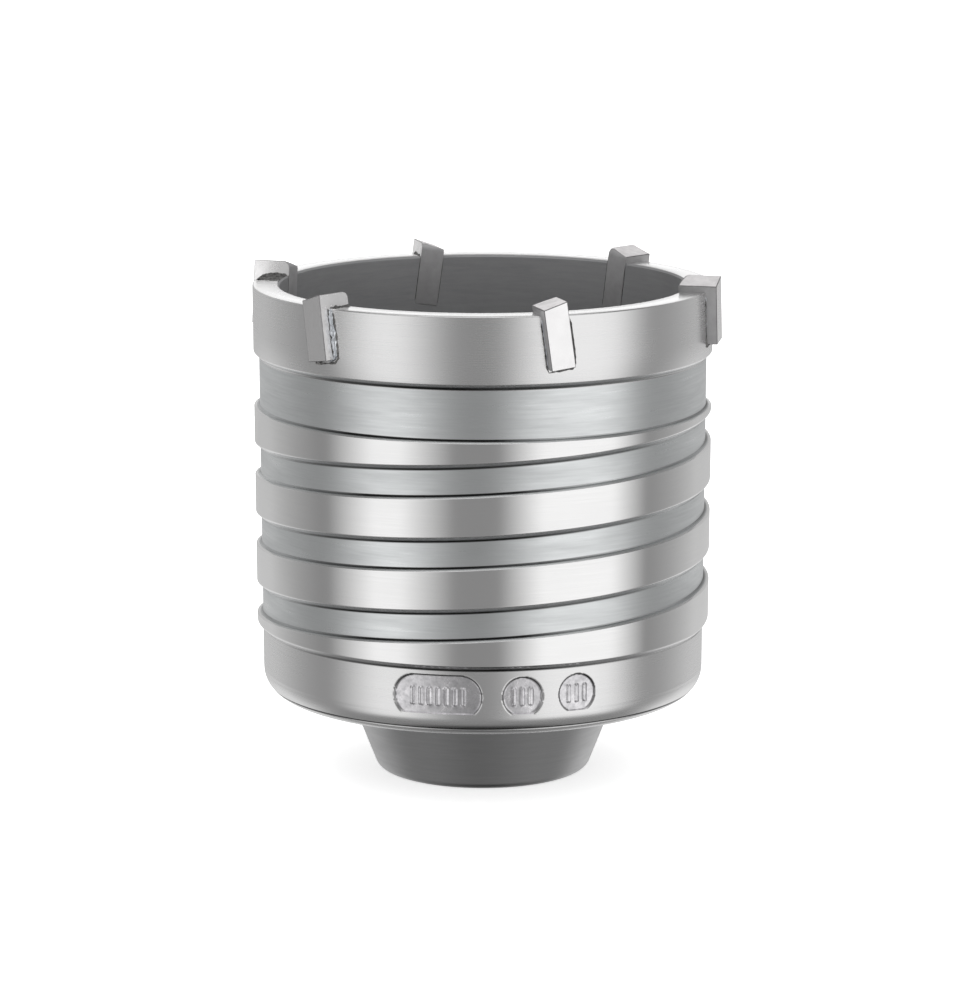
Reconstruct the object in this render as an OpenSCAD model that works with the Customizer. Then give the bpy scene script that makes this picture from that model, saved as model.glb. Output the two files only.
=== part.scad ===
// Core drill bit for brick and block, with a turned steel cup and six brazed carbide tips.
// The cup's outside carries a milled spiral groove that lifts the dust out of the cut.
// The origin is the centre of the hub's end face, +Z points to the cutting rim and -Y is the front.
// Angles round the cup are counted from the front towards +X.

/* [Body] */
// Outside diameter at the cutting rim
body_d = 65; // [55:0.5:90]
// Wall of the cup behind the collar, measured from the rim's outside
wall = 3.8; // [3:0.1:6]
// How much smaller the radius is at the base than at the rim
back_taper = 0.35; // [0:0.05:0.8]
// Height of the plain collar that holds the tips
collar_h = 10.1; // [9.5:0.1:20]
// Height of the turned ring under the collar
relief_h = 6.9; // [6:0.1:12]
// Height of the section with the spiral groove
spiral_h = 31.9; // [20:0.1:60]
// Height of the plain band above the base face
band_h = 9.6; // [9:0.1:16]
// Depth of the turned ring and of the plain band below the full diameter
relief_depth = 0.8; // [0.5:0.05:1.4]
// Height of the slope where a full-diameter section ends in a lower edge
lower_bevel = 0.9; // [0.3:0.1:1.4]
// Height of the slope where a full-diameter section ends in an upper edge
upper_bevel = 0.3; // [0.2:0.1:1]
// Chamfer on the rim's outer edge
rim_chamfer = 0.2; // [0.2:0.1:1.2]
// Rounding of the corner between the plain band and the base face
base_round = 3.5; // [1:0.1:4]
// Thickness of the cup's floor
floor_t = 7; // [5:0.5:12]
// Rounding between the cup's floor and its wall
floor_round = 2; // [0.5:0.1:4]

/* [Spiral groove] */
// Rise of the groove in one turn
groove_pitch = 10; // [8:0.1:14]
// Width of the groove at the full diameter
groove_w = 4.8; // [3:0.1:5.5]
// Depth of the groove below the full diameter
groove_depth = 0.74; // [0.4:0.02:1.3]
// Angle at which the groove's middle runs out into the turned ring
groove_angle = 190; // [0:1:359]

/* [Hub] */
// Height of the hub below the base face
hub_h = 11.4; // [8:0.1:25]
// Diameter of the hub where it meets the base face
hub_root_d = 39; // [36:0.5:46]
// Diameter of the hub at its end face, before the edge is rounded
hub_end_d = 30; // [28:0.5:35]
// Rounding of the hub's end edge
hub_round = 1.6; // [0.5:0.1:2.5]
// Rounding between the hub and the base face
root_round = 1.2; // [0.5:0.1:3]
// Outside diameter of the shank thread
thread_d = 22; // [14:0.5:22]
// Chamfer at both mouths of the thread
thread_chamfer = 0.8; // [0.3:0.1:1.2]

/* [Carbide tips] */
// How far the circle that the tips cut stands outside the rim
tip_outside = 1.5; // [0.8:0.1:2.5]
// How far the tips stand inside the cup's wall
tip_inside = 0.15; // [0.05:0.05:1]
// Thickness of a tip
tip_t = 3.4; // [2:0.1:5]
// Height of the cutting edge above the rim
tip_above = 2; // [0.8:0.1:3]
// Depth of the tip's seat below the rim, at the middle of the tip
tip_below = 7.2; // [5:0.1:8]
// Angle by which a tip leans back from the cut
tip_lean = 8; // [0:0.5:15]
// Slope of a tip's top, falling away behind the cutting edge
tip_slope = 19; // [5:0.5:30]
// Rounding of the corner between a tip's top and its inner end
tip_round = 1; // [0.3:0.1:2]
// Angle of the first tip
tip_angle = 17; // [0:1:59]
// How far each slot is cut from its even place round the rim
tip_shift = [0, -1.8, 0, -1.9, -5.3, 0]; // [-6:0.1:6]
// Gap that the braze fills between a tip and each side of its slot
braze_gap = 0.05; // [0.02:0.01:0.15]

/* [Hidden] */
$fn = 96;
tips = 6;
arc_steps = 6;
turn_steps = 96;
past = 1;

rim_r = body_d / 2;
bore_r = rim_r - wall;
base_z = hub_h;
band_z = base_z + band_h;
spiral_z = band_z + spiral_h;
relief_z = spiral_z + relief_h;
rim_z = relief_z + collar_h;
floor_z = base_z + floor_t;

// Full radius at a height, with the back taper
function full_r(z) = rim_r - back_taper * (rim_z - z) / (rim_z - base_z);

// Points of an arc of radius r about [x, z], from angle a to angle b
function arc(x, z, r, a, b) =
    [for (i = [0 : arc_steps])
        let (t = a + (b - a) * i / arc_steps)
        [x + r * cos(t), z + r * sin(t)]];

// Slope of the hub's flank from the drilling axis
flank = atan2((hub_root_d - hub_end_d) / 2, hub_h);

// Distance from the hub's two corners to where their rounding starts
function corner_reach(r) = r * tan((90 - flank) / 2);

// Hollow rounding between the base face and the hub's flank
function root_arc() =
    arc(hub_root_d / 2 + corner_reach(root_round), base_z - root_round, root_round, 90, 180 - flank);

// Rounded edge between the hub's flank and its end face
function end_arc() =
    arc(hub_end_d / 2 - corner_reach(hub_round), hub_round, hub_round, -flank, -90);

// Rounded corner between the plain band and the base face
function base_arc() =
    arc(full_r(base_z) - relief_depth - base_round, base_z + base_round, base_round, 0, -90);

// Outline of the outside, from the axis at the rim down to the hub's end face
outside = concat(
    [[0, rim_z],
     [rim_r - rim_chamfer, rim_z],
     [full_r(rim_z - rim_chamfer), rim_z - rim_chamfer],
     [full_r(relief_z + lower_bevel), relief_z + lower_bevel],
     [full_r(relief_z) - relief_depth, relief_z],
     [full_r(spiral_z) - relief_depth, spiral_z],
     [full_r(spiral_z - upper_bevel), spiral_z - upper_bevel],
     [full_r(band_z + lower_bevel), band_z + lower_bevel],
     [full_r(band_z) - relief_depth, band_z]],
    base_arc(),
    root_arc(),
    end_arc(),
    [[0, 0]]);

// Outside of the cup and hub, as turned before the spiral is milled
module outer_form() {
    rotate_extrude() polygon(outside);
}

// Inside of the cup, with its rounded floor corner
module cup_space() {
    rotate_extrude()
        polygon(concat(
            [[0, rim_z + past], [0, floor_z]],
            arc(bore_r - floor_round, floor_z + floor_round, floor_round, -90, 0),
            [[bore_r, rim_z + past]]));
}

// Bore of the shank thread, with a chamfered mouth at both ends
module thread_bore() {
    thread_r = thread_d / 2;
    cone = thread_chamfer + past;
    translate([0, 0, -past]) cylinder(h = floor_z + 2 * past, r = thread_r);
    translate([0, 0, -past]) cylinder(h = cone, r1 = thread_r + cone, r2 = thread_r);
    translate([0, 0, floor_z - thread_chamfer]) cylinder(h = cone, r1 = thread_r, r2 = thread_r + cone);
}

// Height of the groove's middle at an angle from the front
function groove_z(a) = spiral_z + groove_pitch * (a - groove_angle) / 360;

// Angle at which the groove's middle reaches a height
function groove_a(z) = groove_angle + 360 * (z - spiral_z) / groove_pitch;

// Section of the groove at an angle, as four corners of the milled space
function groove_ring(a) =
    let (z = groove_z(a),
         r = full_r(z),
         low = z - groove_w / 2,
         high = z + groove_w / 2,
         run = past / groove_depth)
    [for (c = [[r - groove_depth, low + upper_bevel],
               [r - groove_depth, high - lower_bevel],
               [r + past, high + lower_bevel * run],
               [r + past, low - upper_bevel * run]])
        [c[0] * sin(a), -c[0] * cos(a), c[1]]];

// The milled space winds from inside the plain band up into the turned ring
module spiral_groove() {
    clear = groove_w / 2 + past / 2;
    first = groove_a(band_z - clear);
    last = groove_a(spiral_z + clear);
    steps = ceil((last - first) / 360 * turn_steps);
    points = [for (i = [0 : steps]) each groove_ring(first + (last - first) * i / steps)];
    sides = [for (i = [0 : steps - 1], k = [0 : 3])
        let (a = 4 * i + k, b = 4 * i + (k + 1) % 4)
        each [[a, b + 4, b], [a, a + 4, b + 4]]];
    top = 4 * steps;
    polyhedron(points, concat(sides, [[0, 1, 2, 3], [top + 3, top + 2, top + 1, top]]));
}

// Tip sizes in its own plane, where x runs along the cut and y up the leaning plate
tip_seat = -tip_below / cos(tip_lean);
tip_lead = (tip_above - tip_t / 2 * sin(tip_lean)) / cos(tip_lean);
tip_trail = tip_lead - tip_t * tan(tip_slope - tip_lean);
tip_inner = bore_r - tip_inside;
lead_x = tip_t / 2 * cos(tip_lean) - tip_lead * sin(tip_lean);
tip_outer = sqrt(pow(rim_r + tip_outside, 2) - pow(lead_x, 2));

// Stands its children up at tip i, with z running outwards along the leaning plate
module at_tip(i) {
    rotate([0, 0, tip_angle + 360 / tips * (i - 1) + tip_shift[i - 1]])
        translate([0, 0, rim_z])
            rotate([0, -tip_lean, 0])
                rotate([90, 0, 0])
                    children();
}

// Slot through the wall, open at the rim, with its floor at the tip's seat
module tip_slot(i) {
    half = tip_t / 2 + braze_gap;
    high = past + rim_chamfer + half;
    at_tip(i)
        translate([0, 0, bore_r - past])
            linear_extrude(height = wall + 2 * past)
                polygon([[-half, tip_seat], [half, tip_seat], [half, high], [-half, high]]);
}

// Side outline of a tip between its two ends, with the rounded inner corner
module tip_side() {
    polygon(concat(
        [[tip_inner, tip_seat], [tip_outer, tip_seat], [tip_outer, tip_lead]],
        arc(tip_inner + tip_round, tip_lead - tip_round, tip_round, 90, 180)));
}

// Cup and hub in one piece of steel
module body() {
    color([0.76, 0.77, 0.79])
        difference() {
            outer_form();
            cup_space();
            thread_bore();
            spiral_groove();
            for (i = [1 : tips]) tip_slot(i);
        }
}

// Carbide plate with a slanted top, brazed into slot i
module tip(i) {
    half = tip_t / 2;
    color([0.70, 0.68, 0.69])
        at_tip(i)
            intersection() {
                translate([0, 0, tip_inner])
                    linear_extrude(height = tip_outer - tip_inner)
                        polygon([[-half, tip_seat], [half, tip_seat], [half, tip_lead], [-half, tip_trail]]);
                rotate([0, -90, 0])
                    linear_extrude(height = tip_t, center = true) tip_side();
            }
}

body();
tip(1);  // tip_1
tip(2);  // tip_2
tip(3);  // tip_3
tip(4);  // tip_4
tip(5);  // tip_5
tip(6);  // tip_6
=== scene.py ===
"""Core drill bit: the turned steel cup with its spiral groove, the brazed carbide tips and the studio."""

import math

import bmesh
import bpy
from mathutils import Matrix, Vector, noise


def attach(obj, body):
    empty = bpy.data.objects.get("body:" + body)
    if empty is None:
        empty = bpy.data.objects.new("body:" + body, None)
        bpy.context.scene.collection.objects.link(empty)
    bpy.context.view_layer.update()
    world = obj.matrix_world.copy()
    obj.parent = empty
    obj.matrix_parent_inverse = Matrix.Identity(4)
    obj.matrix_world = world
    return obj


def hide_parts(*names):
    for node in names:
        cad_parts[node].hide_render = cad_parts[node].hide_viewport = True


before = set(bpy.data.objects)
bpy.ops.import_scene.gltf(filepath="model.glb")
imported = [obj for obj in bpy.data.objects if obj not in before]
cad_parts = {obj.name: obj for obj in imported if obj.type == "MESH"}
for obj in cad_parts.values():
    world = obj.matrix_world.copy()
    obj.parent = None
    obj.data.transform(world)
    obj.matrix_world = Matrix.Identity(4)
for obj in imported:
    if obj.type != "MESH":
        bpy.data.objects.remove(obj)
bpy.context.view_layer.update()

MM = 0.001
TURN = 2 * math.pi

# Body sizes in millimetres, as in the part's source
RIM_R = 32.5
RIM_Z = 69.9
WALL = 3.8
BACK_TAPER = 0.35
COLLAR_H = 10.1
RELIEF_H = 6.9
SPIRAL_H = 31.9
BAND_H = 9.6
RELIEF_DEPTH = 0.8
LOWER_BEVEL = 0.9
UPPER_BEVEL = 0.3
RIM_CHAMFER = 0.2
BASE_ROUND = 3.5
FLOOR_T = 7
FLOOR_ROUND = 2
GROOVE_PITCH = 10
GROOVE_W = 4.8
GROOVE_ANGLE = math.radians(190)
HUB_ROOT_D = 39
HUB_END_D = 30
HUB_ROUND = 1.6
ROOT_ROUND = 1.2
CREASE_DEPTH = 0.14
THREAD_D = 22
THREAD_PITCH = 2.5
THREAD_H = 1.2
THREAD_CHAMFER = 0.8
THREAD_INSET = 0.6
THREAD_STEPS = 64

# Heights above the hub's end face
BASE_Z = RIM_Z - COLLAR_H - RELIEF_H - SPIRAL_H - BAND_H
BAND_Z = BASE_Z + BAND_H
SPIRAL_Z = BAND_Z + SPIRAL_H
RELIEF_Z = SPIRAL_Z + RELIEF_H
FLOOR_Z = BASE_Z + FLOOR_T
BORE_R = RIM_R - WALL

# Tip sizes in millimetres and degrees
TIPS = 6
TIP_T = 3.4
TIP_BELOW = 7.2
TIP_LEAN = math.radians(8)
TIP_ANGLE = 17
TIP_SHIFT = (0, -1.8, 0, -1.9, -5.3, 0)
TIP_EDGE = 0.09
TIP_FLAT = math.radians(2)
TIP_CORNER = math.radians(30)

# Finishes of a tip and of its braze, in the order of their materials: a tip's faces are toned by the way they
# face, painted light and shade, and the braze's dark flux also draws a painted shadow line round each tip
# How squarely a face has to look one way, and inwards, to be given the tone and finish for it
TIP_PARTS = ("outer", "top", "edge", "back", "inner", "front")
BRAZE_PARTS = ("braze", "flux_and_painted_shadow")
SQUARELY = 0.8
INWARDS = 0.3

# Braze and burnt flux: steps along a bead and over the patch, and sides of a bead
BEAD_STEP = 0.16
TUBE_SIDES = 10
PATCH_STEP = 0.14
PATCH_COLUMNS = 26
PATCH_RISE = 0.22
PATCH_SINK = 0.06
PATCH_UNDER = 0.12
# Share of a full fillet on the collar before each tip, and reach of the burnt patch on the rim before it
COLLAR_BEADS = (0.3, 0.7, 0.9, 0.8, 1, 0.9)
RIM_PATCHES = (0.8, 0.9, 0.4, 0.4, 6.5, 1.0)

# Pressed fields on the plain band: middle as an arc length from the front, reach of the middle, half height
FIELD_Z = BASE_Z + 5.9
FIELDS = ((-6.3, 3.15, 3.15, 7), (5.5, 0, 2.9, 3), (13.35, 0, 2.85, 3))
FIELD_DEPTH = 0.3
FIELD_EDGE = 0.3
MARK_H = 0.22
MARK_W = 0.36
MARK_GAP = 1.2
MARK_REACH = 1.0
MARK_EDGE = 0.2
FIELDS_FROM = -13.4
FIELDS_TO = 17.0
FIELD_STEP = 0.14
FIELD_ROWS = 3.3

# Columns and rows of the cup's skin
COLUMN_STEP = math.radians(2.2)
ARC_STEPS = 8
BEVEL_STEPS = (0, 0.1, 0.22, 0.5, 0.78, 0.9, 1)
ROW_EDGE = 0.12
RAMP_SOFT = 0.22
ZONES = ("satin", "land", "groove", "edge", "field", "hub", "bore")

# Shares of the full depth between which a slope has its own darker steel, painted shade, and from which a
# field has
SLOPE_START = 0.04
SLOPE_END = 0.96
FIELD_START = 0.4

# Gaps in metres that are welded or dissolved
WELD_GAP = 2e-6
FLAT_GAP = 1e-6
TIP_WELD = 1e-7

# Painted shade in the concave corners: stronger in three lobes round the cup, and each band's start, end and
# softness
PAINTED_SHADE_LOBES = 3
PAINTED_SHADE_TURN = 0.2
PAINTED_SHADE_COLOUR = (0.02, 0.0195, 0.019)
LOWER_SHADE_BAND = (0.42, 1.02, 0.15)
UPPER_SHADE_BAND = (0.12, UPPER_BEVEL + 0.22, 0.1)


def smooth(t):
    """A soft step from 0 to 1."""
    t = min(max(t, 0.0), 1.0)
    return t * t * (3 - 2 * t)


def ramp(t):
    """A straight rise from 0 to 1 with both ends rounded."""
    t = min(max(t, 0.0), 1.0)
    if t > 0.5:
        return 1 - ramp(1 - t)
    if t < RAMP_SOFT:
        return t * t / (2 * RAMP_SOFT * (1 - RAMP_SOFT))
    return (t - RAMP_SOFT / 2) / (1 - RAMP_SOFT)


def full_r(z):
    """Full radius at a height, with the back taper."""
    return RIM_R - BACK_TAPER * (RIM_Z - z) / (RIM_Z - BASE_Z)


def on_ring(radius, angle, height):
    """A point in metres; the angle is counted from the front towards +X."""
    return Vector((radius * math.sin(angle), -radius * math.cos(angle), height)) * MM


# Outside of the spiral section, as a share of the relief depth
def groove_centre(angle):
    """Height of one turn of the groove's middle at an angle."""
    return SPIRAL_Z + GROOVE_PITCH * (angle - GROOVE_ANGLE) / TURN


def from_groove(z, angle):
    """Height above the middle of the nearest turn of the groove."""
    return (z - groove_centre(angle) + GROOVE_PITCH / 2) % GROOVE_PITCH - GROOVE_PITCH / 2


def groove_share(z, angle):
    """Depth of the spiral groove, from 0 on a land to 1 on its floor."""
    u = from_groove(z, angle)
    upward = ramp((u + GROOVE_W / 2) / UPPER_BEVEL)
    downward = ramp((GROOVE_W / 2 - u) / LOWER_BEVEL)
    return min(upward, downward)


def ring_share(z):
    """Depth of the turned ring above the spiral and of the plain band below it."""
    upper = ramp((z - SPIRAL_Z + UPPER_BEVEL) / UPPER_BEVEL)
    lower = ramp((BAND_Z + LOWER_BEVEL - z) / LOWER_BEVEL)
    return max(upper, lower)


def spiral_heights(angle):
    """Heights of the rows at one angle, from the top: along the groove's edges and the spiral's two ends."""
    half = GROOVE_W / 2
    offsets = [-half - ROW_EDGE]
    offsets += [-half + UPPER_BEVEL * t for t in BEVEL_STEPS]
    offsets += [-half + UPPER_BEVEL + ROW_EDGE, -half + UPPER_BEVEL + 0.22]
    offsets += [-0.5, 0.5, half - LOWER_BEVEL - 0.3, half - LOWER_BEVEL - ROW_EDGE]
    offsets += [half - LOWER_BEVEL * (1 - t) for t in BEVEL_STEPS]
    offsets += [half + ROW_EDGE, half + 1.2, GROOVE_PITCH - half - 1.2]
    heights = [BAND_Z + LOWER_BEVEL * t for t in BEVEL_STEPS] + [BAND_Z + LOWER_BEVEL + ROW_EDGE]
    for k in range(-math.ceil(SPIRAL_H / GROOVE_PITCH) - 2, 2):
        middle = groove_centre(angle) + k * GROOVE_PITCH
        heights += [min(max(middle + u, BAND_Z), SPIRAL_Z) for u in offsets]
    heights += [SPIRAL_Z - UPPER_BEVEL - ROW_EDGE]
    heights += [SPIRAL_Z - UPPER_BEVEL * (1 - t) for t in BEVEL_STEPS]
    return sorted(heights, reverse=True)


def arc(x, z, r, start, end, steps=ARC_STEPS):
    """Points of an arc, with its angles in degrees."""
    points = []
    for i in range(steps + 1):
        t = math.radians(start + (end - start) * i / steps)
        points.append((x + r * math.cos(t), z + r * math.sin(t)))
    return points


def below_spiral():
    """Profile from the band's foot round the base, the hub and the bore to the collar, zone by zone."""
    flank = math.degrees(math.atan2((HUB_ROOT_D - HUB_END_D) / 2, BASE_Z))
    reach = math.tan(math.radians((90 - flank) / 2))
    foot_r = full_r(BASE_Z) - RELIEF_DEPTH
    middle = (foot_r - BASE_ROUND, BASE_Z + BASE_ROUND)
    thread_r = THREAD_D / 2
    rows = []

    def add(zone, points):
        rows.extend((zone, r, z) for r, z in points)

    add("satin", arc(*middle, BASE_ROUND, 0, -36, 9))
    # A shallow crease on the base's rounding, painted fully dark as a painted shade line.
    add("crease", arc(*middle, BASE_ROUND - CREASE_DEPTH, -38.5, -41.5, 1))
    add("satin", arc(*middle, BASE_ROUND, -44, -90, 12))
    add("hub", [(27.0, BASE_Z), (24.0, BASE_Z)])
    add("hub", arc(HUB_ROOT_D / 2 + ROOT_ROUND * reach, BASE_Z - ROOT_ROUND, ROOT_ROUND, 90, 180 - flank))
    add("hub", arc(HUB_END_D / 2 - HUB_ROUND * reach, HUB_ROUND, HUB_ROUND, -flank, -90))
    add("hub", [(thread_r + THREAD_CHAMFER, 0)])
    add("bore", [(thread_r, THREAD_CHAMFER)])
    add("bore", [(thread_r, FLOOR_Z - THREAD_CHAMFER), (thread_r + THREAD_CHAMFER, FLOOR_Z)])
    add("bore", [(16.0, FLOOR_Z), (22.0, FLOOR_Z)])
    add("bore", arc(BORE_R - FLOOR_ROUND, FLOOR_Z + FLOOR_ROUND, FLOOR_ROUND, -90, 0))
    add("bore", [(BORE_R, FLOOR_Z + 15), (BORE_R, FLOOR_Z + 30), (BORE_R, RIM_Z - 9)])
    add("bore", [(BORE_R, RIM_Z - 0.3)])
    add("satin", [(BORE_R + 0.25, RIM_Z - 0.05), (BORE_R + 0.4, RIM_Z), (RIM_R - 1.5, RIM_Z)])
    add("satin", arc(RIM_R - RIM_CHAMFER, RIM_Z - RIM_CHAMFER, RIM_CHAMFER, 90, 0, 4))
    for z in (RIM_Z - RIM_CHAMFER - 0.1, RIM_Z - 3, RIM_Z - 6):
        add("satin", [(full_r(z), z)])
    # The collar's lower bevel takes the darker edge steel: painted shade.
    for i in range(8):
        z = RELIEF_Z + LOWER_BEVEL * (1 - i / 7)
        add("edge" if 0 < i < 7 else "satin", [(full_r(z) - RELIEF_DEPTH * ramp(i / 7), z)])
    ring_rows = [RELIEF_Z - down for down in (ROW_EDGE, 0.3, 2.3, 4.6)]
    ring_rows += [SPIRAL_Z + 0.22, SPIRAL_Z + ROW_EDGE]
    for z in ring_rows:
        add("groove", [(full_r(z) - RELIEF_DEPTH, z)])
    return rows


def band_heights():
    """Heights of the rows of the plain band, fine enough to carry the pressed fields."""
    top = FIELD_Z + FIELD_ROWS
    low = max(FIELD_Z - FIELD_ROWS, BASE_Z + BASE_ROUND + ROW_EDGE)
    count = round((top - low) / FIELD_STEP)
    return [BAND_Z - ROW_EDGE] + [top - (top - low) * i / count for i in range(count + 1)]


def on_band(angle, z):
    """Arc length from the front and height from the middle of the pressed fields."""
    turned = angle if angle < math.pi else angle - TURN
    return turned * (full_r(z) - RELIEF_DEPTH), z - FIELD_Z


def field_share(angle, z):
    """Depth of the pressed fields, from 0 outside to 1 on their floors."""
    u, v = on_band(angle, z)
    share = 0.0
    for centre, reach, half, _ in FIELDS:
        away = math.hypot(max(abs(u - centre) - reach, 0.0), v) - half
        share = max(share, ramp(-away / FIELD_EDGE))
    return share


def mark_share(angle, z):
    """Height of the plain upright marks that stand in the pressed fields."""
    u, v = on_band(angle, z)
    share = 0.0
    for centre, _, _, marks in FIELDS:
        for k in range(marks):
            mark = centre + (k - (marks - 1) / 2) * MARK_GAP
            side = MARK_W - math.hypot(u - mark, max(abs(v) - MARK_REACH, 0.0))
            share = max(share, ramp(side / MARK_EDGE))
    return share


def band_r(angle, z):
    """Radius of the plain band, with its pressed fields."""
    return full_r(z) - RELIEF_DEPTH - FIELD_DEPTH * field_share(angle, z) + MARK_H * mark_share(angle, z)


def column_angles():
    """Angles of the columns, close together across the pressed fields."""
    start = FIELDS_FROM / RIM_R
    end = FIELDS_TO / RIM_R
    fine = round((FIELDS_TO - FIELDS_FROM) / FIELD_STEP)
    rest = round((TURN - end + start) / COLUMN_STEP)
    angles = [start + (end - start) * i / fine for i in range(fine)]
    angles += [end + (TURN - end + start) * i / rest for i in range(rest + 1)]
    return angles


def in_band(gap, start, end, soft):
    """1 between two distances, with soft ends."""
    return smooth(min(gap - start, end - gap) / soft)


def painted_shade_at(zone, angle, r, z):
    """Share of painted shade in the concave corners of the spiral, the collar, the band and the base."""
    if zone == "crease":
        # The base's crease is painted fully dark: a painted shade line.
        return 1.0
    if zone == "band":
        # The pressed fields' sloped rims are painted darker, more towards their upper side: painted shade.
        share = field_share(angle, z)
        upper = smooth((on_band(angle, z)[1] + 2) / 2)
        return 4 * share * (1 - share) * (0.5 + 0.5 * upper)
    if z < BAND_Z - 1 or r < BORE_R + 0.5:
        return 0.0
    # Painted shade is stronger in three lobes round the cup, one of them near the front, with some noise.
    shade_by_angle = 0.65 + 0.5 * math.cos(PAINTED_SHADE_LOBES * (angle + PAINTED_SHADE_TURN))
    shade_by_angle += 0.4 * noise.noise(Vector((math.sin(angle), math.cos(angle), z / 9)) * 2.3)
    shade_by_angle = min(max(shade_by_angle, 0.0), 1.0)
    band_edge = BAND_Z + LOWER_BEVEL
    ring_edge = SPIRAL_Z - UPPER_BEVEL
    below = [(RELIEF_Z + LOWER_BEVEL - z, 1), (band_edge - z, 1 - groove_share(band_edge, angle))]
    above = [(z - ring_edge, 1 - groove_share(ring_edge, angle))]
    if zone == "spiral":
        down = GROOVE_W / 2 - from_groove(z, angle)
        up = GROOVE_W / 2 + from_groove(z, angle)
        below.append((down, smooth(SPIRAL_Z - z - down)))
        above.append((up, smooth(z - up - BAND_Z - 0.3)))
    lower = max(share * in_band(gap, *LOWER_SHADE_BAND) for gap, share in below)
    upper = max(share * in_band(gap, *UPPER_SHADE_BAND) for gap, share in above)
    return max(lower * (0.2 + 0.8 * shade_by_angle), upper * shade_by_angle)


def zone_of(zone, face, angle):
    """Which finish a face has; the downward-facing slopes get the darker edge steel, painted shade."""
    z = face.calc_center_median().z / MM
    if zone == "band":
        return "field" if field_share(angle, z) > FIELD_START else "satin"
    if zone == "crease":
        return "satin"
    if zone != "spiral":
        return zone
    ring = ring_share(z)
    share = groove_share(z, angle)
    if z < BAND_Z + LOWER_BEVEL and ring > SLOPE_START:
        return "edge" if ring < SLOPE_END else "satin"
    if ring > 0.5 or share > SLOPE_END:
        return "groove"
    if share > SLOPE_START and from_groove(z, angle) > 0:
        return "edge"
    return "groove" if share > 0.5 else "land"


def body_mesh():
    """The whole cup as one closed skin."""
    bm = bmesh.new()
    painted_shade = bm.verts.layers.float.new("painted_shade")
    angles = column_angles()
    rows = []
    for heights in zip(*(spiral_heights(a) for a in angles)):
        rows.append(("spiral", [(full_r(z) - RELIEF_DEPTH * max(ring_share(z), groove_share(z, a)), z)
                                for a, z in zip(angles, heights)]))
    for z in band_heights():
        rows.append(("band", [(band_r(a, z), z) for a in angles]))
    for zone, r, z in below_spiral():
        rows.append((zone, [(r, z)] * len(angles)))
    grid = []
    for zone, row in rows:
        line = []
        for a, (r, z) in zip(angles, row):
            vert = bm.verts.new(on_ring(r, a, z))
            # Each vertex carries its share of painted shade for the steel's colour.
            vert[painted_shade] = painted_shade_at(zone, a, r, z)
            line.append(vert)
        grid.append(line)
    for (zone, _), upper, lower in zip(rows, grid, grid[1:] + grid[:1]):
        for j in range(len(angles) - 1):
            face = bm.faces.new((upper[j], lower[j], lower[j + 1], upper[j + 1]))
            face.material_index = ZONES.index(zone_of(zone, face, angles[j]))
    bmesh.ops.remove_doubles(bm, verts=bm.verts, dist=WELD_GAP)
    bmesh.ops.dissolve_degenerate(bm, edges=bm.edges, dist=FLAT_GAP)
    bmesh.ops.recalc_face_normals(bm, faces=bm.faces)
    return bm


def new_piece(name, bm, materials, sharp=35):
    """A smooth shaded piece of the scene that rides on the part."""
    mesh = bpy.data.meshes.new(name)
    bm.to_mesh(mesh)
    bm.free()
    obj = bpy.data.objects.new(name, mesh)
    bpy.context.scene.collection.objects.link(obj)
    for mat in materials:
        mesh.materials.append(mat)
    mesh.shade_smooth()
    mesh.set_sharp_from_angle(angle=math.radians(sharp))
    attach(obj, "root")
    return obj


def close_rings(bm, rings):
    """The sides between rings of points and a face at both ends."""
    for a, b in zip(rings, rings[1:]):
        for k in range(len(a)):
            n = (k + 1) % len(a)
            bm.faces.new((a[k], a[n], b[n], b[k]))
    bm.faces.new(rings[0])
    bm.faces.new(rings[-1])


def tube(bm, path, radii):
    """A closed tube along a path of points in millimetres, with a radius at each of them."""
    rings = []
    for i, point in enumerate(path):
        before = path[max(i - 1, 0)]
        after = path[min(i + 1, len(path) - 1)]
        along = (after - before).normalized()
        across = along.cross(Vector((point.x, point.y, 0))).normalized()
        out = across.cross(along).normalized()
        ring = []
        for k in range(TUBE_SIDES):
            t = TURN * k / TUBE_SIDES
            ring.append(bm.verts.new((point + (across * math.cos(t) + out * math.sin(t)) * radii[i]) * MM))
        rings.append(ring)
    close_rings(bm, rings)


def tip_turn(index):
    """Angle of a tip round the rim."""
    return math.radians(TIP_ANGLE + 360 / TIPS * (index - 1) + TIP_SHIFT[index - 1])


def tip_point(index, across, height, radius):
    """A point in millimetres at a tip, given along its leaning plate, on a cylinder about the axis."""
    side = across * math.cos(TIP_LEAN) - height * math.sin(TIP_LEAN)
    z = RIM_Z + across * math.sin(TIP_LEAN) + height * math.cos(TIP_LEAN)
    angle = tip_turn(index)
    depth = math.sqrt(radius * radius - side * side)
    x = side * math.cos(angle) + depth * math.sin(angle)
    y = side * math.sin(angle) - depth * math.cos(angle)
    return Vector((x, y, z))


def bead(bm, index, route, radius, roughness):
    """One uneven bead along a route of points given along the tip's plate, with a radius at each corner."""
    path = []
    for (x0, z0, r0, t0), (x1, z1, r1, t1) in zip(route, route[1:]):
        count = max(round(math.dist((x0, z0, r0), (x1, z1, r1)) / BEAD_STEP), 1)
        for k in range(count):
            f = k / count
            path.append((x0 + (x1 - x0) * f, z0 + (z1 - z0) * f, r0 + (r1 - r0) * f, t0 + (t1 - t0) * f))
    path.append(route[-1])
    points = []
    radii = []
    for i, (across, height, out, thick) in enumerate(path):
        seed = Vector((index * 7.3, radius + 31, i * BEAD_STEP))
        waver = noise.noise(seed * 0.9)
        lump = noise.noise(seed * 1.9 + Vector((40, 0, 0)))
        across += 0.4 * thick * waver
        points.append(tip_point(index, across, height, radius + out + 0.15 * thick * lump))
        ends = smooth((min(i, len(path) - 1 - i) + 1) / 5)
        radii.append(thick * (0.35 + 0.65 * ends) * (1 + roughness * (lump + 0.6 * waver)))
    tube(bm, points, radii)


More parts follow.
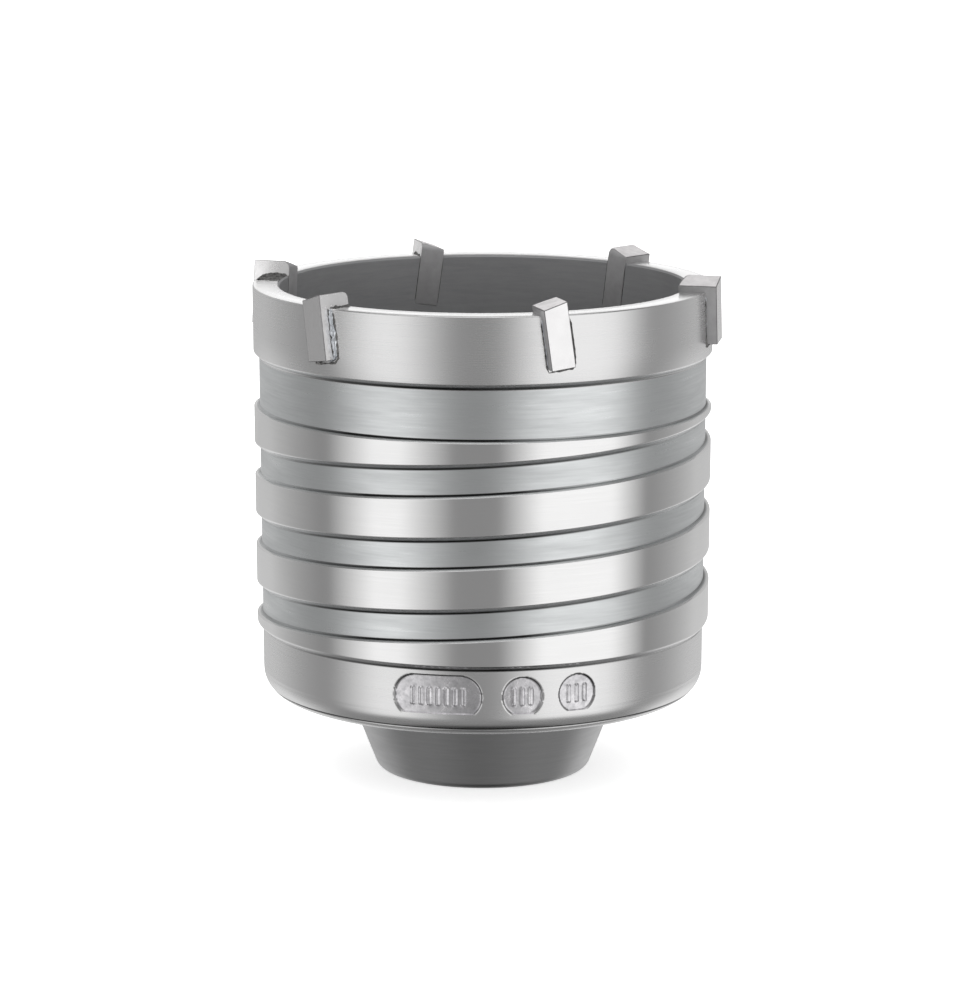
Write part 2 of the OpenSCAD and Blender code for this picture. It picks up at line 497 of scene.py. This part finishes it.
def braze_mesh(index):
    """Braze on the collar: a lumpy fillet before the tip, a thin one behind it, and dark flux beads along
    both that paint a shadow line round the tip.
    """
    half = TIP_T / 2
    foot = -TIP_BELOW
    radius = full_r(RIM_Z - 4)
    full = COLLAR_BEADS[index - 1]
    bm = bmesh.new()
    front = half + 0.32 * full
    bead(bm, index, [(front, -0.35, 0, 0.34 * full), (front + 0.1 * full, foot * 0.55, 0, 0.48 * full),
                     (front, foot + 0.4, 0, 0.36 * full),
                     (half - 0.3, foot - 0.05, 0, 0.2), (-half + 0.3, foot - 0.05, 0, 0.16),
                     (-half - 0.04, foot + 0.4, 0, 0.08), (-half - 0.04, -0.35, 0, 0.08)], radius, 0.5)
    # The beads from here on are dark flux close round the tip's sides and foot: a painted shadow line.
    count = len(bm.faces)
    edge = half + 0.47 + 0.27 * full
    bead(bm, index, [(edge, -0.9, 0, 0.13), (edge + 0.1 * full, foot * 0.55, 0, 0.14),
                     (edge, foot + 0.1, 0, 0.13), (half, foot - 0.5, 0, 0.14), (-half, foot - 0.45, 0, 0.13),
                     (-half - 0.2, foot + 0.3, 0, 0.1), (-half - 0.2, -0.6, 0, 0.09)], radius, 0.6)
    bead(bm, index, [(half + 0.02, -0.3, 0.2, 0.1), (half + 0.02, foot + 0.6, 0.2, 0.1)], radius, 0.5)
    bm.faces.ensure_lookup_table()
    for face in bm.faces[count:]:
        face.material_index = BRAZE_PARTS.index("flux_and_painted_shadow")
    bmesh.ops.recalc_face_normals(bm, faces=bm.faces)
    return bm


def burnt_patch(bm, index):
    """Burnt flux on the rim's top before a tip: a low crust with a ragged border, closed underneath."""
    reach = RIM_PATCHES[index - 1]
    rows = round(reach / PATCH_STEP) + 4
    grid = []
    for i in range(rows + 1):
        across = TIP_T / 2 - 0.1 + reach * i / rows
        line = []
        for k in range(PATCH_COLUMNS + 1):
            radius = BORE_R + 0.2 + (WALL - 0.4) * k / PATCH_COLUMNS
            seed = Vector((across + 11 * index, radius, 3.0))
            lump = noise.noise(seed * 1.3) + 0.5 * noise.noise(seed * 3.4) + 0.35 * noise.noise(seed * 7)
            inner = smooth((min(k, PATCH_COLUMNS - k) + 1) / 4) * (1 - (i / rows) ** 4)
            rise = PATCH_RISE * inner * (0.9 + 1.4 * lump) - 0.05
            if k in (0, PATCH_COLUMNS) or i == rows:
                rise = -PATCH_SINK
            height = (rise - across * math.sin(TIP_LEAN)) / math.cos(TIP_LEAN)
            line.append(bm.verts.new(tip_point(index, across, height, radius) * MM))
        grid.append(line)
    for lower, upper in zip(grid, grid[1:]):
        for k in range(PATCH_COLUMNS):
            bm.faces.new((lower[k], lower[k + 1], upper[k + 1], upper[k]))
    border = grid[0] + [line[-1] for line in grid[1:-1]]
    border += grid[-1][::-1] + [line[0] for line in grid[-2:0:-1]]
    under = [bm.verts.new(vert.co - Vector((0, 0, PATCH_UNDER * MM))) for vert in border]
    for k in range(len(border)):
        n = (k + 1) % len(border)
        bm.faces.new((border[k], border[n], under[n], under[k]))
    bm.faces.new(under)


def rim_braze_mesh(index):
    """Burnt flux on the rim's top before the tip, and thin seams down the bore."""
    half = TIP_T / 2
    bm = bmesh.new()
    burnt_patch(bm, index)
    for side in (-half - 0.03, half + 0.03):
        bead(bm, index, [(side, -0.3, 0, 0.05), (side, 0.3 - TIP_BELOW, 0, 0.05)], BORE_R, 0.4)
    bmesh.ops.recalc_face_normals(bm, faces=bm.faces)
    return bm


def tip_mesh(index):
    """The carbide plate: crisp ground edges, and a tone and finish for each kind of face by the way it faces,
    painted light and shade.
    """
    bm = bmesh.new()
    bm.from_mesh(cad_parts[f"tip_{index}"].data)
    bmesh.ops.remove_doubles(bm, verts=bm.verts, dist=TIP_WELD)
    bmesh.ops.dissolve_limit(bm, angle_limit=TIP_FLAT, verts=bm.verts, edges=bm.edges)
    sharp = [e for e in bm.edges if len(e.link_faces) == 2 and e.calc_face_angle() > TIP_CORNER]
    made = bmesh.ops.bevel(bm, geom=sharp, offset=TIP_EDGE * MM, segments=2, profile=0.5, affect="EDGES")
    turned = tip_turn(index)
    ahead = Vector((math.cos(turned), math.sin(turned), 0))
    inward = Vector((-math.sin(turned), math.cos(turned), 0))
    for face in bm.faces:
        part = "outer"
        if face.normal.z > SQUARELY:
            part = "top"
        elif face.normal.dot(ahead) < -SQUARELY:
            part = "back"
        elif face.normal.dot(ahead) > SQUARELY:
            part = "front"
        elif face.normal.dot(inward) > INWARDS:
            part = "inner"
        face.material_index = TIP_PARTS.index(part)
    # Bevelled edges take the dark edge carbide: a painted dark outline.
    for face in made["faces"]:
        face.material_index = TIP_PARTS.index("inner" if face.normal.dot(inward) > INWARDS else "edge")
    bmesh.ops.recalc_face_normals(bm, faces=bm.faces)
    return bm


def thread_mesh():
    """A closed helical ridge on the wall of the threaded hole."""
    wall = THREAD_D / 2
    turns = (FLOOR_Z - 2 * THREAD_CHAMFER - 2 * THREAD_INSET) / THREAD_PITCH
    count = round(THREAD_STEPS * turns)
    bm = bmesh.new()
    rings = []
    for i in range(count + 1):
        angle = TURN * i / THREAD_STEPS
        z = THREAD_CHAMFER + THREAD_INSET + THREAD_PITCH * i / THREAD_STEPS
        height = THREAD_H * smooth(min(i, count - i) / (THREAD_STEPS / 3)) + 0.05
        profile = ((wall + 0.1, -1.05), (wall, -0.95), (wall - height, -0.2), (wall - height, 0.2),
                   (wall, 0.95), (wall + 0.1, 1.05))
        rings.append([bm.verts.new(on_ring(r, angle, z + dz)) for r, dz in profile])
    close_rings(bm, rings)
    bmesh.ops.recalc_face_normals(bm, faces=bm.faces)
    return bm


# Materials, with the depth of their fine relief in metres
RELIEF_REACH = 0.00004


def add_node(tree, kind, inputs, **settings):
    """A shader node with its settings and its inputs, which are values or sockets."""
    node = tree.nodes.new(kind)
    for key, value in settings.items():
        setattr(node, key, value)
    for name, value in inputs.items():
        if isinstance(value, bpy.types.NodeSocket):
            tree.links.new(value, node.inputs[name])
        else:
            node.inputs[name].default_value = value
    return node


def noise_value(tree, scale, detail, rough):
    """Noise stretched by three scales in one over metres, in the object's own coordinates."""
    place = add_node(tree, "ShaderNodeTexCoord", {})
    stretch = add_node(tree, "ShaderNodeMapping", {"Vector": place.outputs["Object"], "Scale": scale})
    inputs = {"Vector": stretch.outputs[0], "Scale": 1.0, "Detail": detail, "Roughness": rough}
    return add_node(tree, "ShaderNodeTexNoise", inputs).outputs["Fac"]


def ranged(tree, value, low, high, start, end):
    """A value from low to high as the input goes from start to end."""
    inputs = {"Value": value, "From Min": start, "From Max": end, "To Min": low, "To Max": high}
    return add_node(tree, "ShaderNodeMapRange", inputs).outputs["Result"]


def blended(tree, factor, low, high):
    """A colour between two colours."""
    node = add_node(tree, "ShaderNodeMix", {}, data_type="RGBA")
    for socket, value in zip((node.inputs[0], node.inputs[6], node.inputs[7]), (factor, low, high)):
        if isinstance(value, bpy.types.NodeSocket):
            tree.links.new(value, socket)
        else:
            socket.default_value = value if isinstance(value, float) else (*value, 1)
    return node.outputs[2]


def worked(name, dark, light, rough, streak, bump, patch=(70, 70, 90), metallic=1.0, with_painted_shade=False):
    """Worked metal: two tones mixed by tool streaks and patches, with uneven gloss, a fine relief and, where
    asked, painted shade.
    """
    mat = bpy.data.materials.new(name)
    mat.use_nodes = True
    tree = mat.node_tree
    shader = tree.nodes["Principled BSDF"]
    streaks = noise_value(tree, streak, 5.0, 0.7)
    patches = noise_value(tree, patch, 3.0, 0.55)
    both = add_node(tree, "ShaderNodeMath", {0: streaks, 1: patches}, operation="ADD").outputs[0]
    tone = ranged(tree, both, 0.0, 1.0, 0.7, 1.3)
    colour = blended(tree, tone, dark, light)
    gloss = ranged(tree, both, rough[1], rough[0], 0.7, 1.3)
    # Painted shade: the mesh's share of it darkens the colour towards near black.
    if with_painted_shade:
        share = add_node(tree, "ShaderNodeAttribute", {}, attribute_name="painted_shade").outputs["Fac"]
        colour = blended(tree, share, colour, PAINTED_SHADE_COLOUR)
    relief = add_node(tree, "ShaderNodeBump", {"Height": streaks, "Strength": bump, "Distance": RELIEF_REACH})
    tree.links.new(colour, shader.inputs["Base Color"])
    tree.links.new(gloss, shader.inputs["Roughness"])
    tree.links.new(relief.outputs[0], shader.inputs["Normal"])
    shader.inputs["Metallic"].default_value = metallic
    return mat


satin = worked("satin_steel", (0.77, 0.767, 0.767), (0.795, 0.792, 0.792), (0.25, 0.29),
               (60, 60, 4000), 0.01, with_painted_shade=True)
land = worked("land_steel", (0.82, 0.817, 0.815), (0.87, 0.867, 0.865), (0.12, 0.18),
              (90, 90, 6000), 0.06, with_painted_shade=True)
groove = worked("groove_steel", (0.63, 0.646, 0.650), (0.75, 0.768, 0.772), (0.26, 0.38),
                (110, 110, 2600), 0.35, (90, 90, 500), with_painted_shade=True)
# The downward-facing slopes get a darker copy of the land steel: painted shade.
edge = worked("shaded_bevel_steel", (0.62, 0.62, 0.625), (0.72, 0.72, 0.725), (0.14, 0.20),
              (90, 90, 4000), 0.1, with_painted_shade=True)
field = worked("field_steel", (0.50, 0.495, 0.51), (0.88, 0.865, 0.885), (0.24, 0.38),
               (1600, 1600, 1600), 0.8, (600, 600, 600), with_painted_shade=True)
dull = worked("dull_steel", (0.42, 0.42, 0.423), (0.49, 0.49, 0.493), (0.34, 0.42),
              (160, 160, 2200), 0.2)
bore = worked("bore_steel", (0.23, 0.23, 0.235), (0.28, 0.28, 0.285), (0.42, 0.56),
              (200, 200, 1800), 0.3, metallic=0.4)
# One carbide in lit and shaded copies, each face toned by the way it looks: a lighter front, a duller top,
# darker edges, back and inner end: painted light and shade.
carbide = worked("carbide", (0.81, 0.802, 0.803), (0.87, 0.862, 0.863), (0.16, 0.22),
                 (700, 700, 700), 0.04, (260, 260, 260), metallic=0.94)
painted_lit_carbide_front = worked("painted_lit_carbide_front", (0.84, 0.832, 0.833), (0.93, 0.922, 0.923), (0.20, 0.28),
                       (700, 700, 700), 0.06, (400, 400, 400), metallic=0.7)
painted_carbide_top = worked("painted_carbide_top", (0.60, 0.585, 0.59), (0.80, 0.78, 0.785), (0.42, 0.52),
                     (900, 900, 900), 0.1, (650, 650, 650), metallic=0.35)
painted_dark_carbide_edge = worked("painted_dark_carbide_edge", (0.16, 0.157, 0.158), (0.34, 0.335, 0.337), (0.30, 0.40),
                      (900, 900, 900), 0.1, (500, 500, 500))
painted_shade_carbide_back = worked("painted_shade_carbide_back", (0.28, 0.277, 0.28), (0.36, 0.356, 0.36), (0.40, 0.52),
                      (900, 900, 900), 0.2, (400, 400, 400), metallic=0.4)
painted_shade_carbide_end = worked("painted_shade_carbide_end", (0.30, 0.296, 0.30), (0.36, 0.355, 0.36), (0.45, 0.55),
                     (900, 900, 900), 0.2, (400, 400, 400), metallic=0.4)
braze = worked("braze", (0.60, 0.635, 0.68), (0.86, 0.885, 0.92), (0.26, 0.42),
               (900, 900, 900), 0.4, (400, 400, 400))
# Dark flux: burnt flux on the rim and the bore's seams, and the thin dark beads round each tip on the collar,
# a painted shadow line.
flux_and_painted_shadow = worked("flux_and_painted_shadow", (0.01, 0.01, 0.0105), (0.16, 0.157, 0.153), (0.6, 0.85),
              (2600, 2600, 2600), 0.8, (900, 900, 900), metallic=0.0)
flux_and_painted_shadow.node_tree.nodes["Principled BSDF"].inputs["Specular IOR Level"].default_value = 0.15

body = new_piece("steel_cup", body_mesh(), (satin, land, groove, edge, field, dull, bore))
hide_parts("body")
new_piece("shank_thread", thread_mesh(), (bore,), 20)
for i in range(1, TIPS + 1):
    tip = new_piece(f"carbide_tip_{i}", tip_mesh(i),
                    (carbide, painted_carbide_top, painted_dark_carbide_edge, painted_shade_carbide_back, painted_shade_carbide_end, painted_lit_carbide_front), 25)
    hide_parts(f"tip_{i}")
    new_piece(f"collar_braze_and_shadow_{i}", braze_mesh(i), (braze, flux_and_painted_shadow), 60)
    new_piece(f"rim_braze_{i}", rim_braze_mesh(i), (flux_and_painted_shadow,), 60)


# Camera at the photograph's viewing angle
CAMERA_DISTANCE = 600
CAMERA_ELEVATION = math.radians(10.965)
CAMERA_AIM_Z = 40.0
CAMERA_LENS = 154.59
CAMERA_SENSOR = 36
CAMERA_SHIFT = 0.0073
CAMERA_NEAR = 0.01

camera_data = bpy.data.cameras.new("camera")
camera = bpy.data.objects.new("camera", camera_data)
bpy.context.scene.collection.objects.link(camera)
bpy.context.scene.camera = camera
camera_data.lens = CAMERA_LENS
camera_data.sensor_width = CAMERA_SENSOR
camera_data.shift_x = CAMERA_SHIFT
camera_data.clip_start = CAMERA_NEAR
sight = Vector((0, math.cos(CAMERA_ELEVATION), -math.sin(CAMERA_ELEVATION)))
camera.location = Vector((0, 0, CAMERA_AIM_Z * MM)) - sight * CAMERA_DISTANCE * MM
camera.rotation_euler = sight.to_track_quat("-Z", "Y").to_euler()

# Floor: half its side in metres, and its own light
FLOOR_REACH = 4
FLOOR_GLOW = 0.55

floor_mesh = bpy.data.meshes.new("floor")
corners = [(x * FLOOR_REACH, y * FLOOR_REACH, 0) for x, y in ((-1, -1), (1, -1), (1, 1), (-1, 1))]
floor_mesh.from_pydata(corners, [], [(0, 1, 2, 3)])
floor = bpy.data.objects.new("floor", floor_mesh)
bpy.context.scene.collection.objects.link(floor)
floor_mat = bpy.data.materials.new("floor")
floor_mat.use_nodes = True
floor_shader = floor_mat.node_tree.nodes["Principled BSDF"]
floor_shader.inputs["Base Color"].default_value = (0.95, 0.95, 0.95, 1)
floor_shader.inputs["Roughness"].default_value = 0.9
floor_shader.inputs["Emission Color"].default_value = (1, 1, 1, 1)
floor_shader.inputs["Emission Strength"].default_value = FLOOR_GLOW
floor_mesh.materials.append(floor_mat)
floor.visible_glossy = False

# Soft boxes round the part, in degrees and brightness:
# azimuth, half width, edge, height, half height, edge, strength
SOFT_BOXES = (
    (0, 360, 1, -10, 56, 8, 0.25),
    (-49, 7, 28, -10, 24, 10, 0.76),
    (49, 19, 22, -10, 24, 10, 0.80),
    (-155, 20, 45, -5, 33, 10, 0.28),
    (155, 20, 45, -5, 33, 10, 0.28),
    (-151, 12, 32, -30, 8, 12, 0.28),
    (151, 12, 32, -30, 8, 12, 0.36),
    (180, 5, 4, 10.5, 4, 5, 0.98),
    (-180, 5, 4, 10.5, 4, 5, 0.98),
    (0, 70, 20, 62, 14, 8, 0.90),
    (0, 360, 1, 78, 18, 5, 0.40),
)
SURROUND = 0.02
DIFFUSE_LIGHT = 1.25


def studio():
    """A plain dim surround with soft boxes, and white where the camera looks past the floor."""
    world = bpy.data.worlds.new("studio")
    bpy.context.scene.world = world
    world.use_nodes = True
    tree = world.node_tree

    def calc(kind, a, b=0.0):
        return add_node(tree, "ShaderNodeMath", {0: a, 1: b}, operation=kind).outputs[0]

    def inside(value, centre, half, edge):
        """1 within half a width of the centre, falling to 0 over the edge."""
        away = calc("ABSOLUTE", calc("SUBTRACT", value, math.radians(centre)))
        return ranged(tree, away, 1.0, 0.0, math.radians(half), math.radians(half + edge))

    place = add_node(tree, "ShaderNodeTexCoord", {})
    split = add_node(tree, "ShaderNodeSeparateXYZ", {0: place.outputs["Generated"]})
    x, y, z = split.outputs
    azimuth = calc("ARCTAN2", x, calc("MULTIPLY", y, -1.0))
    height = calc("ARCSINE", z)
    light = SURROUND
    for az, az_half, az_edge, up, up_half, up_edge, strength in SOFT_BOXES:
        share = calc("MULTIPLY", inside(azimuth, az, az_half, az_edge), inside(height, up, up_half, up_edge))
        light = calc("ADD", light, calc("MULTIPLY", share, strength))
    mirrored = tree.nodes["Background"]
    tree.links.new(light, mirrored.inputs["Color"])
    even = add_node(tree, "ShaderNodeBackground", {"Color": (1, 1, 1, 1), "Strength": DIFFUSE_LIGHT})
    glossy = add_node(tree, "ShaderNodeLightPath", {}).outputs["Is Glossy Ray"]
    mix = add_node(tree, "ShaderNodeMixShader", {0: glossy, 1: even.outputs[0], 2: mirrored.outputs[0]})
    tree.links.new(mix.outputs[0], tree.nodes["World Output"].inputs["Surface"])


studio()
bpy.context.scene.view_settings.view_transform = "Standard"
